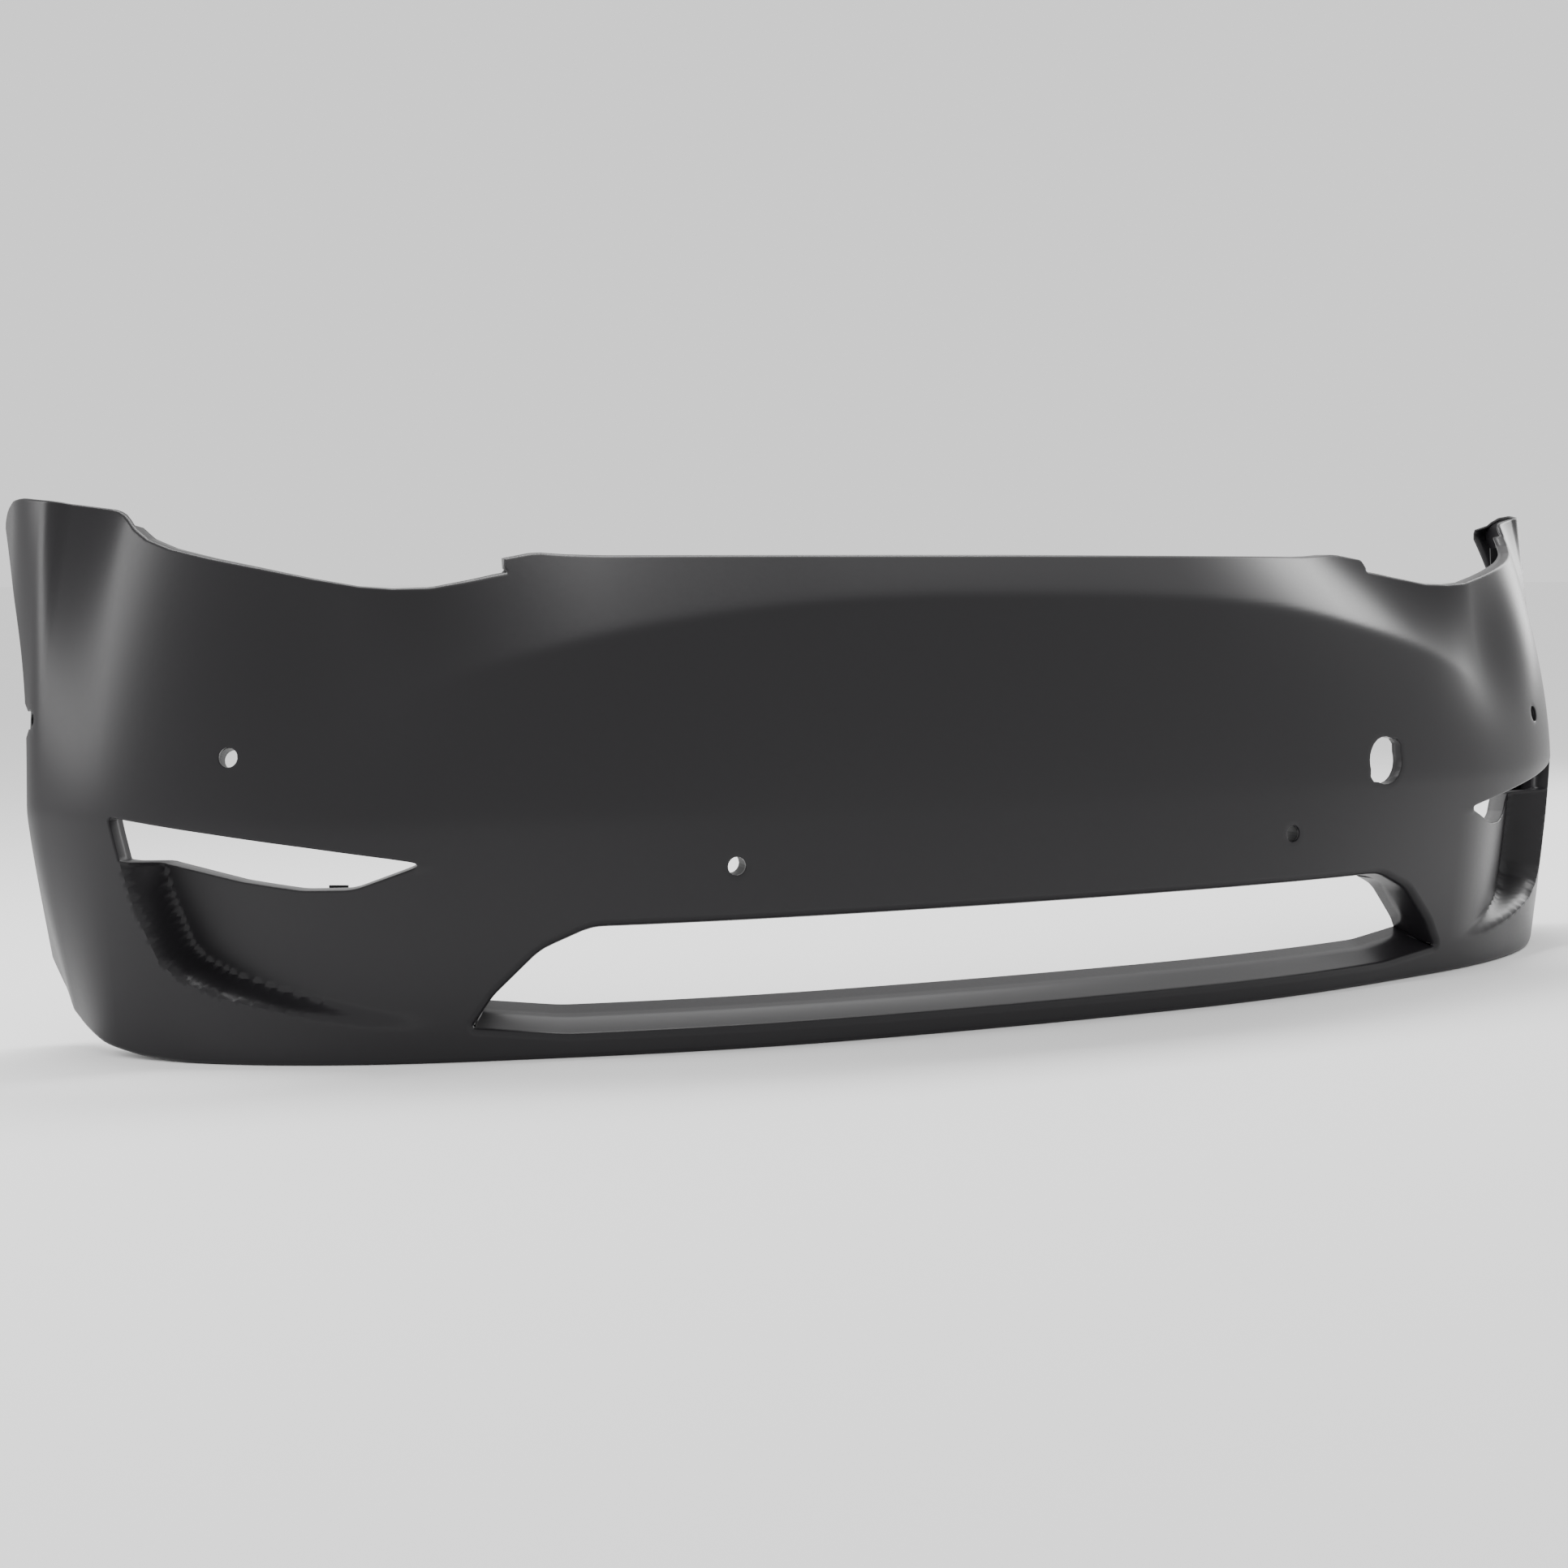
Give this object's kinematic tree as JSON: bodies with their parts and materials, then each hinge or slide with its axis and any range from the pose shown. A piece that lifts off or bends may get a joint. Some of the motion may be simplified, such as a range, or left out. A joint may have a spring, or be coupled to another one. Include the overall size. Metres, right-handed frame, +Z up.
{
  "type": "bumper cover",
  "caption": "Front bumper cover of a crossover: moulded one-piece skin with lower grille mouth, side slits, scoops, sensor holes and towing-eye hole, with brackets and holders fitted behind",
  "frame": {"origin": "middle of the cover's bounding box in plan, at the height of its lower edge", "axes": "+Z up, the front of the cover faces -Y, +X is to the right seen from the front"},
  "size_m": [1.8546, 0.4168, 0.525],
  "materials": {
    "skin": "satin black moulded and primed, soft sheen",
    "holder": "fine matt black",
    "bracket": "matt black, glass filled",
    "duct": "matt black",
    "screw": "zinc plated",
    "nut": "dark spring steel"
  },
  "bodies": {
    "root": {"cover": "skin", "sensor_holder_centre_left": "holder", "sensor_holder_outer_left": "holder", "sensor_holder_side_left": "holder", "sensor_holder_centre_right": "holder", "sensor_holder_outer_right": "holder", "sensor_holder_side_right": "holder", "wing_bracket_left": "bracket", "wing_screw_left_1": "screw", "wing_screw_left_2": "screw", "wing_screw_left_3": "screw", "wing_bracket_right": "bracket", "wing_screw_right_1": "screw", "wing_screw_right_2": "screw", "wing_screw_right_3": "screw", "lamp_carrier_left": "bracket", "carrier_screw_left_1": "screw", "carrier_screw_left_2": "screw", "carrier_screw_left_3": "screw", "lamp_carrier_right": "bracket", "carrier_screw_right_1": "screw", "carrier_screw_right_2": "screw", "carrier_screw_right_3": "screw", "air_duct_left": "duct", "air_duct_right": "duct", "arch_nut_left_1": "nut", "arch_nut_left_2": "nut", "arch_nut_left_3": "nut", "tray_nut_left_1": "nut", "tray_nut_left_2": "nut", "tray_nut_left_3": "nut", "arch_nut_right_1": "nut", "arch_nut_right_2": "nut", "arch_nut_right_3": "nut", "tray_nut_right_1": "nut", "tray_nut_right_2": "nut", "tray_nut_right_3": "nut"}
  },
  "joints": []
}
